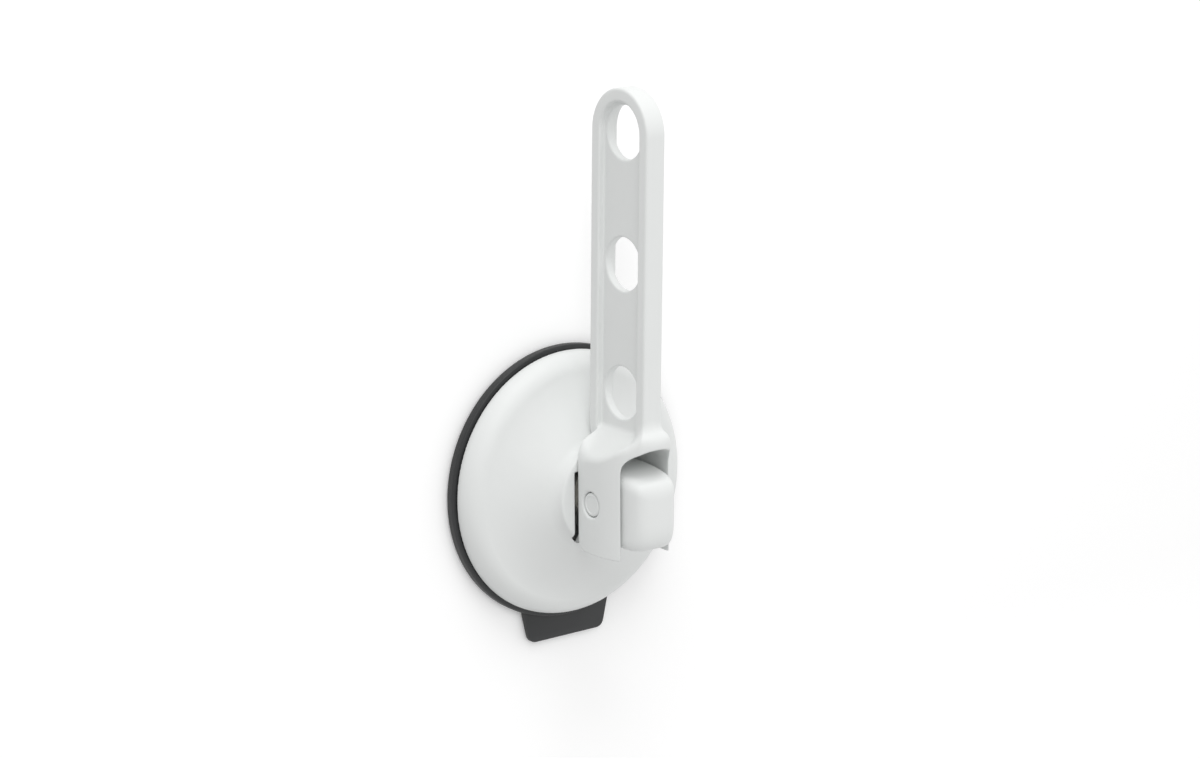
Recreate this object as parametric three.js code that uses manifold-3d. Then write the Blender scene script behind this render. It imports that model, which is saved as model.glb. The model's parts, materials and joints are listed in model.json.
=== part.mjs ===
// Lever suction mount with a fold-down hanger arm: a rubber suction pad under a bell-shaped cover, a sprung
// plunger that a cam lever draws outwards, and a release button in the lever's fork.
// Frame: millimetres, +Z up, the wall is the plane y = 0, the front faces -Y and the plunger runs along Y.

import * as THREE from "three";
import { mergeVertices } from "three/addons/utils/BufferGeometryUtils.js";
import Module from "manifold-3d";

const wasm = await Module();
wasm.setup();

// ---- driving dimensions -------------------------------------------------------------------------------
const GAP = 0.3; // clearance between pieces that touch
const ROUND = 48; // segments of a full turn on large round pieces
const SMALL_ROUND = 24; // the same on small round pieces

const COVER_R = 53.2; // cover radius at its rim
const COVER_WALL = 2.2;
const RIM_Y = -4.1; // the rim's distance in front of the wall
const RIM_STRAIGHT = 0.3; // upright band at the rim, before the shoulder
const SHOULDER_R = 8.6; // rounding from the rim to the face
const NECK_R = 18.5; // where the bell's flare ends
const NECK_Y = -27.8; // the collar's face at the neck
const NECK_BORE_R = 8.8;

const PAD_R = 55.1;
const PAD_THICK = 3.8; // at the rim, in front of the wall
const PAD_SKIN = 2.4; // the flexible middle ring
const TAB_HALF_TOP = 20.8; // half width of the pull tab where it leaves the pad
const TAB_HALF_END = 18;
const TAB_END_Z = -64.2;
const TAB_THICK = 2.6;

const PIN_Y = -37.7; // lever pivot, at z = 0
const PIN_R = 4.7;
const PIN_HALF = 13.9;

const FORK_HALF = 14.4; // half width of the hub over its cheeks
const SLOT_HALF = 11.9; // half width of the slot between the cheeks
const HUB_BACK_Y = -29.2;
const HUB_BOTTOM_Z = -19.8;
const HEEL_R = 4.6; // rounding of the cheek's rear lower corner, the cam's nose

const ARM_HALF = 4.4; // half thickness of the arm
const ARM_WEB_HALF = 1.75; // half thickness of its recessed web
const ARM_HALF_DEPTH = 16.9; // half width front to back
const ARM_RIM = 5; // width of the raised rim round the web
const ARM_LEAN = THREE.MathUtils.degToRad(1.41); // the arm leans away from the wall
const HOLE_PITCH = 50;
const HOLE_R = 10.3;
const LOW_HOLE = { y: -41.24, z: 43 };

const BUTTON_HALF = 11.1;
const BUTTON_FRONT_Y = -64;
const BUTTON_BACK_Y = -33.4;
const BUTTON_TOP_Z = 14.8;
const BUTTON_BROW_Z = 9.4; // where the sloping top meets the front
const BUTTON_CREST_Y = -51; // where the slope meets the flat top
const BUTTON_BOTTOM_Z = -15.9;
const BUTTON_TRAVEL = 3; // it comes flush with the arm's front
const BUTTON_WALL = 2;

const ROD_R = 6; // plunger rod
const EYE_R = 8.5;
const EYE_HALF = 6;
const BUSH_R = 8.4; // guide bush outside
const ANCHOR_R = 17; // plate moulded into the middle of the pad
const ANCHOR_BACK_Y = -3.2;
const ANCHOR_FRONT_Y = -5.2;
const SCREW_CIRCLE_R = 36;
const SCREW_COUNT = 4;

// ---- materials ----------------------------------------------------------------------------------------
const finish = (color, roughness, metalness = 0) => ({ color, roughness, metalness });
const WHITE_PLASTIC = finish(0xe6e8e6, 0.5);
const INNER_PLASTIC = finish(0xd8dad8, 0.55);
const GREY_RUBBER = finish(0x47494b, 0.75);
const STEEL = finish(0xb4b6b8, 0.35, 1);
const SPRING_STEEL = finish(0xa2a4a8, 0.3, 1);
const BEARING_PLASTIC = finish(0xf0efe8, 0.4);

// ---- solids -------------------------------------------------------------------------------------------

/** A closed geometry as a solid, with its faces turned to point outwards. */
function solidOf(geometry) {
  geometry.deleteAttribute("normal");
  geometry.deleteAttribute("uv");
  const merged = mergeVertices(geometry, 1e-3);
  const make = (triVerts) =>
    new wasm.Manifold(
      new wasm.Mesh({ numProp: 3, vertProperties: merged.attributes.position.array, triVerts }),
    );
  const triangles = new Uint32Array(merged.index.array);
  const made = make(triangles);
  return made.volume() > 0 ? made : make(triangles.reverse());
}

const join = (...solids) => solids.reduce((a, b) => a.add(b));
const cut = (solid, ...tools) => tools.reduce((a, b) => a.subtract(b), solid);

/** A named mesh of a solid, with flat shading. */
function piece(name, solid, look) {
  const mesh = solid.getMesh();
  const geometry = new THREE.BufferGeometry();
  geometry.setAttribute("position", new THREE.BufferAttribute(mesh.vertProperties, 3));
  geometry.setIndex(new THREE.BufferAttribute(mesh.triVerts, 1));
  geometry.computeVertexNormals();
  const made = new THREE.Mesh(geometry, new THREE.MeshStandardMaterial(look));
  made.name = name;
  return made;
}

const vec = (x, y) => new THREE.Vector2(x, y);
const X_AXIS = new THREE.Vector3(1, 0, 0);
const Y_AXIS = new THREE.Vector3(0, 1, 0);
const Z_AXIS = new THREE.Vector3(0, 0, 1);

/** A shape drawn in one of the frame's planes, extruded along the remaining axis from low to high. */
function extruded(shape, [first, second, along], low, high, segments) {
  const geometry = new THREE.ExtrudeGeometry(shape, {
    depth: high - low,
    bevelEnabled: false,
    curveSegments: segments,
  });
  geometry.translate(0, 0, low);
  geometry.applyMatrix4(new THREE.Matrix4().makeBasis(first, second, along));
  return solidOf(geometry);
}
const alongX = (shape, low, high, segments = 8) =>
  extruded(shape, [Y_AXIS, Z_AXIS, X_AXIS], low, high, segments); // drawn in (y, z)
const alongZ = (shape, low, high, segments = 8) =>
  extruded(shape, [X_AXIS, Y_AXIS, Z_AXIS], low, high, segments); // drawn in (x, y)
const alongY = (shape, low, high, segments = 8) =>
  extruded(shape, [X_AXIS, Z_AXIS, Y_AXIS.clone().negate()], -high, -low, segments); // drawn in (x, z)

/** A profile of (radius, y) points turned about the plunger's axis. */
const turned = (points, segments = ROUND) =>
  solidOf(new THREE.LatheGeometry(points.map(([r, y]) => vec(r, y)), segments));

/** A disc or ring about the plunger's axis. */
function ring(inner, outer, low, high, segments = ROUND) {
  const profile = [[inner, low], [outer, low], [outer, high], [inner, high]];
  return turned(inner > 0 ? [...profile, profile[0]] : profile, segments);
}

/** A round bar or bore along X. */
function barX(radius, half, y, z, segments = SMALL_ROUND) {
  const bar = new THREE.CylinderGeometry(radius, radius, 2 * half, segments);
  bar.rotateZ(Math.PI / 2);
  bar.translate(0, y, z);
  return solidOf(bar);
}

/** A box between two corners. */
function box(low, high) {
  const size = high.map((value, i) => value - low[i]);
  const made = new THREE.BoxGeometry(...size);
  made.translate(...low.map((value, i) => value + size[i] / 2));
  return solidOf(made);
}

/** A closed outline through points, with each corner rounded by its radius. */
function rounded(corners) {
  const shape = new THREE.Shape();
  corners.forEach(([x, y, radius = 0], i) => {
    const here = vec(x, y);
    const [px, py] = corners.at(i - 1);
    const [nx, ny] = corners[(i + 1) % corners.length];
    const before = vec(px, py).sub(here).setLength(radius).add(here);
    const after = vec(nx, ny).sub(here).setLength(radius).add(here);
    if (i === 0) shape.moveTo(before.x, before.y);
    else shape.lineTo(before.x, before.y);
    if (radius > 0) shape.quadraticCurveTo(x, y, after.x, after.y);
  });
  shape.closePath();
  return shape;
}

/** A coil spring about an axis along Y, narrowing from one radius to the other. */
class Coil extends THREE.Curve {
  constructor(turns, radiusLow, radiusHigh, low, high) {
    super();
    Object.assign(this, { turns, radiusLow, radiusHigh, low, high });
  }
  getPoint(t, target = new THREE.Vector3()) {
    const angle = t * this.turns * 2 * Math.PI;
    const radius = THREE.MathUtils.lerp(this.radiusLow, this.radiusHigh, t);
    const y = THREE.MathUtils.lerp(this.low, this.high, t);
    return target.set(radius * Math.cos(angle), y, radius * Math.sin(angle));
  }
}

function spring(coil, wireR) {
  const section = new THREE.Shape();
  section.absarc(0, 0, wireR, 0, 2 * Math.PI);
  return solidOf(
    new THREE.ExtrudeGeometry(section, {
      steps: Math.round(coil.turns * 14),
      extrudePath: coil,
      curveSegments: 3,
    }),
  );
}

// ---- suction pad --------------------------------------------------------------------------------------

function suctionPad() {
  const disc = turned([
    [0, 0],
    [PAD_R - 0.5, 0],
    [PAD_R, -0.6],
    [PAD_R, -PAD_THICK + 0.5],
    [PAD_R - 0.6, -PAD_THICK],
    [45.5, -PAD_THICK],
    [43, -PAD_SKIN],
    [23.5, -PAD_SKIN],
    [20.8, -6.4],
    [ANCHOR_R + GAP, -6.4],
    [ANCHOR_R + GAP, ANCHOR_BACK_Y + GAP],
    [0, ANCHOR_BACK_Y + GAP],
  ]);
  const tab = rounded([
    [-TAB_HALF_TOP, -45, 0],
    [TAB_HALF_TOP, -45, 0],
    [TAB_HALF_TOP, -52, 0],
    [TAB_HALF_END, TAB_END_Z, 3.2],
    [-TAB_HALF_END, TAB_END_Z, 3.2],
    [-TAB_HALF_TOP, -52, 0],
  ]);
  return join(disc, alongY(tab, -TAB_THICK, 0));
}

// ---- cover --------------------------------------------------------------------------------------------

const SHOULDER_SLOPE = THREE.MathUtils.degToRad(10); // the face's slope where the shoulder ends
const FLARE_SLOPE = THREE.MathUtils.degToRad(38); // the bell's slope where it meets the neck

/** The outer line of the bell from its rim to the neck, as (radius, y) points, moved inwards by a depth. */
function bellLine(depth, shoulderSteps, flareSteps) {
  const centreR = COVER_R - SHOULDER_R;
  const points = [];
  for (let i = 0; i <= shoulderSteps; i += 1) {
    const slope = THREE.MathUtils.lerp(Math.PI / 2, SHOULDER_SLOPE, i / shoulderSteps);
    const radius = SHOULDER_R - depth;
    points.push([centreR + radius * Math.sin(slope), RIM_Y - RIM_STRAIGHT - radius * Math.cos(slope)]);
  }
  const start = vec(centreR + SHOULDER_R * Math.sin(SHOULDER_SLOPE), RIM_Y - RIM_STRAIGHT);
  start.y -= SHOULDER_R * Math.cos(SHOULDER_SLOPE);
  const end = vec(NECK_R, NECK_Y);
  const reach = (start.x - end.x) / 3;
  const flare = new THREE.CubicBezierCurve(
    start,
    vec(start.x - reach, start.y - reach * Math.tan(SHOULDER_SLOPE)),
    vec(end.x + reach, end.y + reach * Math.tan(FLARE_SLOPE)),
    end,
  );
  for (let i = 1; i <= flareSteps; i += 1) {
    const point = flare.getPoint(i / flareSteps);
    const tangent = flare.getTangent(i / flareSteps);
    points.push([point.x + tangent.y * depth, point.y - tangent.x * depth]);
  }
  return points;
}

const SCREW_ANGLES = Array.from({ length: SCREW_COUNT }, (_, i) => ((i + 0.5) * 2 * Math.PI) / SCREW_COUNT);
const screwPlace = (angle) => [SCREW_CIRCLE_R * Math.cos(angle), 0, SCREW_CIRCLE_R * Math.sin(angle)];
const COLLAR_Y = NECK_Y - 0.8;
const LANDING_R = 20.4; // the flat round landing that the cheeks stand on
/** The slot that a cam nose passes through, in (x, z): it narrows downwards as the fork does to its front. */
const CAM_SLOT = [
  [SLOT_HALF - 0.5, -19.6],
  [12.9, -19.6],
  [13.2, -17.5],
  [FORK_HALF + 0.2, -14],
  [FORK_HALF + 0.2, 11],
  [SLOT_HALF - 0.5, 11],
];

function cover() {
  const outer = turned([
    [0, RIM_Y],
    [COVER_R, RIM_Y],
    ...bellLine(0, 6, 10),
    [NECK_R - 1.4, COLLAR_Y],
    [0, COLLAR_Y],
  ]);
  const inner = bellLine(COVER_WALL, 6, 10);
  const cavity = turned([[0, 0], [COVER_R - COVER_WALL, 0], ...inner, [0, inner.at(-1)[1]]]);
  const bore = ring(0, NECK_BORE_R, -40, 0);
  const landing = ring(0, LANDING_R, COLLAR_Y, -18);
  const shell = cut(join(outer, landing), cavity, bore);
  const bosses = SCREW_ANGLES.map((angle) =>
    ring(1.6, 3.4, -16.6, -9.9, 12).translate(screwPlace(angle)),
  );
  const slots = [1, -1].map((side) =>
    alongY(rounded(CAM_SLOT.map(([x, z]) => [side * x, z])), -40, -10),
  );
  return cut(join(shell, ...bosses), ...slots);
}

// ---- pressure ring, thrust ring, bush ------------------------------------------------------------------

const DECK_BACK_Y = -16.3; // the deck of the pressure ring carries the thrust ring
const DECK_FRONT_Y = -19.0;
const RING_R = COVER_R - COVER_WALL - 2 * GAP;
const WEB_BACK_Y = -7;
const WEB_FRONT_Y = -9.6;
const HUB_WALL_R = [18.4, 20.8];
const RIB_COUNT = 8;

function pressureRing() {
  const body = turned([
    [HUB_WALL_R[0], WEB_BACK_Y],
    [45.8, WEB_BACK_Y],
    [46.4, RIM_Y],
    [RING_R, RIM_Y],
    [RING_R - 0.4, WEB_BACK_Y],
    [RING_R - 2.9, WEB_FRONT_Y],
    [HUB_WALL_R[1], WEB_FRONT_Y],
    [HUB_WALL_R[1], DECK_FRONT_Y],
    [BUSH_R + GAP, DECK_FRONT_Y],
    [BUSH_R + GAP, DECK_BACK_Y],
    [HUB_WALL_R[0], DECK_BACK_Y],
    [HUB_WALL_R[0], WEB_BACK_Y],
  ]);
  const rib = rounded([
    [HUB_WALL_R[1] - 0.5, WEB_FRONT_Y + 0.5],
    [44, WEB_FRONT_Y + 0.5],
    [30, WEB_FRONT_Y - 2.6],
    [HUB_WALL_R[1] - 0.5, WEB_FRONT_Y - 6],
  ]);
  const ribs = Array.from({ length: RIB_COUNT }, (_, i) =>
    alongZ(rib, -0.8, 0.8).rotate([0, ((i + 0.5) * 360) / RIB_COUNT, 0]),
  );
  const holes = SCREW_ANGLES.map((angle) => ring(0, 2, -12, -5, 12).translate(screwPlace(angle)));
  return cut(join(body, ...ribs), ...holes);
}

const THRUST_FRONT_Y = -21.9;
const THRUST_R = 18.6;
const thrustRing = () => ring(BUSH_R + GAP, THRUST_R, THRUST_FRONT_Y, DECK_FRONT_Y - GAP);

const BUSH_FRONT_Y = -26.6;

function guideBush() {
  const bore = ROD_R + GAP;
  return turned([
    [bore, BUSH_FRONT_Y],
    [BUSH_R, BUSH_FRONT_Y],
    [BUSH_R, DECK_BACK_Y + GAP],
    [10.4, DECK_BACK_Y + GAP],
    [10.4, DECK_BACK_Y + 1.5],
    [bore, DECK_BACK_Y + 1.5],
    [bore, BUSH_FRONT_Y],
  ], SMALL_ROUND);
}

const rodSeal = () => ring(ROD_R + GAP, BUSH_R, NECK_Y - 0.6, BUSH_FRONT_Y - GAP, SMALL_ROUND);
const springSeat = () => ring(10.8, 17, DECK_BACK_Y + GAP, DECK_BACK_Y + 1.1, 32);

const screw = () =>
  turned([[0, -4.6], [2.9, -4.6], [3.1, -5.4], [3.1, -6.7], [1.3, -6.7], [1.3, -12.7], [0, -13.3]], 12);

// ---- plunger ------------------------------------------------------------------------------------------

const ANCHOR_STUD_R = 3.5;
const ROD_BACK_Y = -9;

const anchorPlate = () =>
  turned([
    [0, ANCHOR_BACK_Y],
    [ANCHOR_R, ANCHOR_BACK_Y],
    [ANCHOR_R, ANCHOR_FRONT_Y],
    [ANCHOR_STUD_R, ANCHOR_FRONT_Y],
    [ANCHOR_STUD_R, -20],
    [0, -20],
  ], 32);

function lockNut() {
  const hexagon = ring(0, 6.2, -8.5, ANCHOR_FRONT_Y - GAP, 6);
  return cut(hexagon, ring(0, ANCHOR_STUD_R + GAP, -10, 0, SMALL_ROUND));
}

function plungerRod() {
  const shank = turned([[0, -34], [ROD_R, -34], [ROD_R, ROD_BACK_Y], [0, ROD_BACK_Y]], SMALL_ROUND);
  const eye = barX(EYE_R, EYE_HALF, PIN_Y, 0, 32);
  const thread = ring(0, ANCHOR_STUD_R + GAP, -20.5, 0, SMALL_ROUND);
  return cut(join(shank, eye), thread, barX(PIN_R + 1.3 + GAP, 20, PIN_Y, 0));
}

const eyeBush = () => cut(barX(PIN_R + 1.3, EYE_HALF, PIN_Y, 0), barX(PIN_R + GAP, 20, PIN_Y, 0));

// ---- lever --------------------------------------------------------------------------------------------

/** The arm's centre line: y at a height. */
const armY = (z) => LOW_HOLE.y - (z - LOW_HOLE.z) * Math.tan(ARM_LEAN);
const holes = [0, 1, 2].map((i) => {
  const z = LOW_HOLE.z + i * HOLE_PITCH * Math.cos(ARM_LEAN);
  return [armY(z), z];
});
const TOP_HOLE = holes.at(-1);

/** The arm's side outline in (y, z), inset from its edge, down to a foot height. */
function armOutline(inset, foot, footRadius) {
  const half = ARM_HALF_DEPTH - inset;
  const shape = new THREE.Shape();
  shape.moveTo(armY(foot) + half, foot + footRadius);
  shape.lineTo(TOP_HOLE[0] + half, TOP_HOLE[1]);
  shape.absarc(TOP_HOLE[0], TOP_HOLE[1], half, 0, Math.PI);
  shape.lineTo(armY(foot) - half, foot + footRadius);
  shape.quadraticCurveTo(armY(foot) - half, foot, armY(foot) - half + footRadius, foot);
  shape.lineTo(armY(foot) + half - footRadius, foot);
  shape.quadraticCurveTo(armY(foot) + half, foot, armY(foot) + half, foot + footRadius);
  return shape;
}

/** The hub seen from above, in (x, y): squared cheeks behind and a bow-shaped front. */
function hubPlan() {
  const shape = new THREE.Shape();
  shape.moveTo(-ARM_HALF, HUB_BACK_Y + 4.2);
  shape.quadraticCurveTo(-10, HUB_BACK_Y + 3, -13.5, HUB_BACK_Y);
  shape.quadraticCurveTo(-FORK_HALF - 0.4, -41, -13.2, -48);
  shape.quadraticCurveTo(-11.6, -56, -ARM_HALF, -59.6);
  shape.lineTo(ARM_HALF, -59.6);
  shape.quadraticCurveTo(11.6, -56, 13.2, -48);
  shape.quadraticCurveTo(FORK_HALF + 0.4, -41, 13.5, HUB_BACK_Y);
  shape.quadraticCurveTo(10, HUB_BACK_Y + 3, ARM_HALF, HUB_BACK_Y + 4.2);
  shape.closePath();
  return shape;
}

/** The hub seen from the front, in (x, z): upright cheeks that flare in to the arm. */
function hubFront() {
  const shape = new THREE.Shape();
  shape.moveTo(-FORK_HALF - 1, HUB_BOTTOM_Z);
  shape.lineTo(FORK_HALF + 1, HUB_BOTTOM_Z);
  shape.lineTo(FORK_HALF + 1, 19.2);
  shape.quadraticCurveTo(6.4, 21, ARM_HALF, 36);
  shape.lineTo(-ARM_HALF, 36);
  shape.quadraticCurveTo(-6.4, 21, -FORK_HALF - 1, 19.2);
  shape.closePath();
  return shape;
}

const SLOT_ROOF_Z = 16;
const ARCH_TOP_Z = 21.5;
const ARCH_BACK_Y = -36;
const SPRING_BAR = { front: -43.4, back: -41.2, low: 8.6, high: 11.6 }; // joins the cheeks inside the button

function leverArm() {
  const arm = alongX(armOutline(0, 17.5, 0.5), -ARM_HALF, ARM_HALF, 10);
  const recess = armOutline(ARM_RIM, 27, 4);
  const recesses = [
    alongX(recess, ARM_WEB_HALF, 10, 10),
    alongX(recess, -10, -ARM_WEB_HALF, 10),
  ];
  const bores = holes.map(([y, z]) => barX(HOLE_R, 20, y, z));

  const side = rounded([
    [HUB_BACK_Y + 6, 40],
    [HUB_BACK_Y + 6, 25],
    [HUB_BACK_Y, 22],
    [HUB_BACK_Y, HUB_BOTTOM_Z, HEEL_R],
    [-64, HUB_BOTTOM_Z],
    [-64, 40],
  ]);
  const hub = alongZ(hubPlan(), HUB_BOTTOM_Z, 36)
    .intersect(alongY(hubFront(), -70, -20))
    .intersect(alongX(side, -20, 20));

  const slot = box([-SLOT_HALF, -70, -30], [SLOT_HALF, -10, SLOT_ROOF_Z]);
  const arch = rounded([
    [-SLOT_HALF, 0],
    [SLOT_HALF, 0],
    [SLOT_HALF, SLOT_ROOF_Z],
    [SLOT_HALF / 2, ARCH_TOP_Z, 5],
    [-SLOT_HALF / 2, ARCH_TOP_Z, 5],
    [-SLOT_HALF, SLOT_ROOF_Z],
  ]);
  const frontArch = alongY(arch, -70, ARCH_BACK_Y);
  const backRelief = rounded([
    [-10, 10],
    [-10, 29],
    [armY(29) + ARM_HALF_DEPTH, 29],
    [HUB_BACK_Y, 22],
    [HUB_BACK_Y, 10],
  ]);
  const { front, back, low, high } = SPRING_BAR;
  const springBar = box([-SLOT_HALF - 0.5, front, low], [SLOT_HALF + 0.5, back, high]);
  const pinBore = barX(PIN_R + GAP, 30, PIN_Y, 0);
  return join(
    cut(
      join(arm, hub),
      slot,
      frontArch,
      pinBore,
      alongX(backRelief, -20, 20),
      ...recesses,
      ...bores,
    ),
    springBar,
  );
}

// ---- release button -----------------------------------------------------------------------------------

const BUTTON_SPRING = { radius: 1.5, wireR: 0.3, low: -53, high: SPRING_BAR.front - 0.6, z: 9.6 };

function releaseButton() {
  const plan = rounded([
    [-BUTTON_HALF, BUTTON_BACK_Y],
    [-BUTTON_HALF, BUTTON_FRONT_Y, 9],
    [BUTTON_HALF, BUTTON_FRONT_Y, 9],
    [BUTTON_HALF, BUTTON_BACK_Y],
  ]);
  const front = rounded([
    [-BUTTON_HALF, BUTTON_BOTTOM_Z, 5],
    [BUTTON_HALF, BUTTON_BOTTOM_Z, 5],
    [BUTTON_HALF, BUTTON_TOP_Z, 3.6],
    [-BUTTON_HALF, BUTTON_TOP_Z, 3.6],
  ]);
  const side = rounded([
    [BUTTON_BACK_Y, -8.2],
    [-37.4, -11.4],
    [-51.5, -11.4],
    [-53.5, BUTTON_BOTTOM_Z],
    [BUTTON_FRONT_Y, BUTTON_BOTTOM_Z, 7],
    [BUTTON_FRONT_Y, BUTTON_BROW_Z, 4],
    [BUTTON_CREST_Y, BUTTON_TOP_Z, 4],
    [BUTTON_BACK_Y, BUTTON_TOP_Z],
  ]);
  const body = alongZ(plan, BUTTON_BOTTOM_Z, BUTTON_TOP_Z)
    .intersect(alongY(front, -70, -20))
    .intersect(alongX(side, -20, 20));
  const insideHalf = BUTTON_HALF - BUTTON_WALL;
  const hollow = rounded([
    [-20, -20],
    [-50.5, -20],
    [-55, BUTTON_BOTTOM_Z + BUTTON_WALL],
    [BUTTON_FRONT_Y + 2 * BUTTON_WALL, BUTTON_BOTTOM_Z + 2 * BUTTON_WALL, 3],
    [BUTTON_FRONT_Y + BUTTON_WALL, 0],
    [BUTTON_FRONT_Y + BUTTON_WALL, BUTTON_BROW_Z - BUTTON_WALL, 2],
    [BUTTON_CREST_Y, BUTTON_TOP_Z - BUTTON_WALL, 2],
    [-20, BUTTON_TOP_Z - BUTTON_WALL],
  ]);
  const inside = alongX(hollow, -insideHalf, insideHalf).intersect(
    alongZ(rounded([
      [-insideHalf, -10],
      [-insideHalf, BUTTON_FRONT_Y + BUTTON_WALL, 6.5],
      [insideHalf, BUTTON_FRONT_Y + BUTTON_WALL, 6.5],
      [insideHalf, -10],
    ]), -30, 30),
  );
  const { front: barFront, low: barLow, high: barHigh } = SPRING_BAR;
  const barWay = box([-20, barFront - BUTTON_TRAVEL - GAP, barLow - GAP], [20, -20, barHigh + GAP]);
  const postEnd = BUTTON_SPRING.low - BUTTON_SPRING.wireR - GAP;
  const springPost = box([-2.6, BUTTON_FRONT_Y + 1, 6.4], [2.6, postEnd, 11.4]).intersect(body);
  const pinHalf = PIN_R + GAP;
  const pinWay = box([-20, PIN_Y - BUTTON_TRAVEL - pinHalf, -pinHalf], [20, -20, pinHalf]);
  return cut(join(cut(body, inside), springPost), barWay, pinWay);
}

// ---- assembly -----------------------------------------------------------------------------------------

const base = new THREE.Group();
base.add(
  piece("suction_pad", suctionPad(), GREY_RUBBER),
  piece("cover", cover(), WHITE_PLASTIC),
  piece("pressure_ring", pressureRing(), INNER_PLASTIC),
  piece("thrust_ring", thrustRing(), STEEL),
  piece("guide_bush", guideBush(), BEARING_PLASTIC),
  piece("rod_seal", rodSeal(), GREY_RUBBER),
  piece("spring_seat", springSeat(), STEEL),
  piece("return_spring", spring(new Coil(2.5, 16.1, 11.4, -6.2, -14.2), 0.6), SPRING_STEEL),
);
SCREW_ANGLES.forEach((angle, i) => {
  const mesh = piece(`cover_screw_${i + 1}`, screw(), STEEL);
  mesh.position.set(...screwPlace(angle));
  base.add(mesh);
});

const plunger = new THREE.Group();
plunger.add(
  piece("anchor_plate", anchorPlate(), STEEL),
  piece("lock_nut", lockNut(), STEEL),
  piece("plunger_rod", plungerRod(), STEEL),
  piece("eye_bush", eyeBush(), BEARING_PLASTIC),
);

const lever = new THREE.Group();
lever.add(
  piece("lever_arm", leverArm(), WHITE_PLASTIC),
  piece("pivot_pin", barX(PIN_R, PIN_HALF, PIN_Y, 0), WHITE_PLASTIC),
);

const button = new THREE.Group();
const { radius: coilR, wireR, low: coilLow, high: coilHigh, z: coilZ } = BUTTON_SPRING;
const buttonSpring = spring(new Coil(5, coilR, coilR, coilLow, coilHigh), wireR).translate([0, 0, coilZ]);
button.add(
  piece("release_button", releaseButton(), WHITE_PLASTIC),
  piece("button_spring", buttonSpring, SPRING_STEEL),
);

const suctionMount = new THREE.Group();
suctionMount.add(base, plunger, lever, button);

export default suctionMount;
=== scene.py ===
"""A lever suction mount on a pale wall.

The visible surfaces, materials, light and camera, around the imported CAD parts.
"""

import json
import math

import bmesh
import bpy
import numpy as np
import openvdb
from mathutils import Matrix, Vector


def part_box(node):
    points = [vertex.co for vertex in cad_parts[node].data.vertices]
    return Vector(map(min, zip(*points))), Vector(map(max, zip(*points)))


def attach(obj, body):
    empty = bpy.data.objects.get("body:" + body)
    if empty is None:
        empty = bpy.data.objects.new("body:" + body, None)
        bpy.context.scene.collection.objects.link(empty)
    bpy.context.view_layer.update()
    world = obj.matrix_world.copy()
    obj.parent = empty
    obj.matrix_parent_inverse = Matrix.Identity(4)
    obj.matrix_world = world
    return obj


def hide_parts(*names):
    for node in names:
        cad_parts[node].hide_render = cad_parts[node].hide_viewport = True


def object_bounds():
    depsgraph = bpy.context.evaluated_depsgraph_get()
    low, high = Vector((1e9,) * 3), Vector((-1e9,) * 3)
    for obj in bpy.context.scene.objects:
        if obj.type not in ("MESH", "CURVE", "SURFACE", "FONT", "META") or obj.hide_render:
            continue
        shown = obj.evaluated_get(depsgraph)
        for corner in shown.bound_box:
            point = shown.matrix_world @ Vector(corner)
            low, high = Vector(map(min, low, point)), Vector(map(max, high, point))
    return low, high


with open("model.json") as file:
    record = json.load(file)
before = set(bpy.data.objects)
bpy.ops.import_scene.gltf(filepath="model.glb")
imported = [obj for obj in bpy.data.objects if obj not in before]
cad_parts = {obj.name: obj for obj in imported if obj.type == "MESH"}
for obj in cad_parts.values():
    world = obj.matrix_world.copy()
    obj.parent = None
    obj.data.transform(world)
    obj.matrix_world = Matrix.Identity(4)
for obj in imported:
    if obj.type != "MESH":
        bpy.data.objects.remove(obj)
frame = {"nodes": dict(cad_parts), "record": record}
cad_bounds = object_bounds()

MM = 0.001  # shapes are worked out in millimetres and stored in metres
GAP = 0.3  # the clearance between touching pieces, in millimetres


def box_mm(node):
    """The lowest and highest corner of a CAD node, in millimetres."""
    low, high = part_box(node)
    return np.array(low) / MM, np.array(high) / MM


# ---- sizes taken from the frame, in millimetres ----------------------------------------------

lever_low, lever_high = box_mm("lever_arm")
pin_low, pin_high = box_mm("pivot_pin")
cover_low, cover_high = box_mm("cover")
pad_low, pad_high = box_mm("suction_pad")
button_low, button_high = box_mm("release_button")
rod_low, rod_high = box_mm("plunger_rod")
bush_high = box_mm("eye_bush")[1]

PIN_Y = (pin_low[1] + pin_high[1]) / 2
PIN_HALF = pin_high[0]
PIN_R = pin_high[2]
COVER_R = cover_high[0]
RIM_Y = cover_high[1]
COLLAR_Y = cover_low[1]
PAD_R = pad_high[0]
TAB_END_Z = pad_low[2]
ARM_TOP_Z = lever_high[2]
HUB_BOTTOM_Z = lever_low[2]

# ---- shapes as distance fields ---------------------------------------------------------------
# A field gives the distance to a surface at each point, negative inside. Fields are joined with
# rounded edges and fillets, and the surface where the field is zero becomes the mesh.

FIELD_BAND = 3  # how far from the surface a field is kept, in grid steps
SETTLING_STEPS = 4  # how often each mesh point is moved on to the true surface
FILLET_WIDTH = 1.17  # the width over which two fields blend, for a fillet of radius 1


def soft_min(a, b, radius):
    """The union of two fields, with a fillet of about this radius where they meet."""
    width = FILLET_WIDTH * radius
    overlap = np.maximum(width - np.abs(a - b), 0) / width
    return np.minimum(a, b) - overlap * overlap * width / 4


def soft_max(a, b, radius):
    """The common part of two fields, with its edges rounded to about this radius."""
    return -soft_min(-a, -b, radius)


def soft_cut(a, tool, radius):
    """The first field less the second, with the new edges rounded."""
    return soft_max(a, -tool, radius)


def ramp(value, start, end):
    """From 0 at start to 1 at end, with level ends."""
    share = np.clip((value - start) / (end - start), 0, 1)
    return share * share * (3 - 2 * share)


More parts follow.
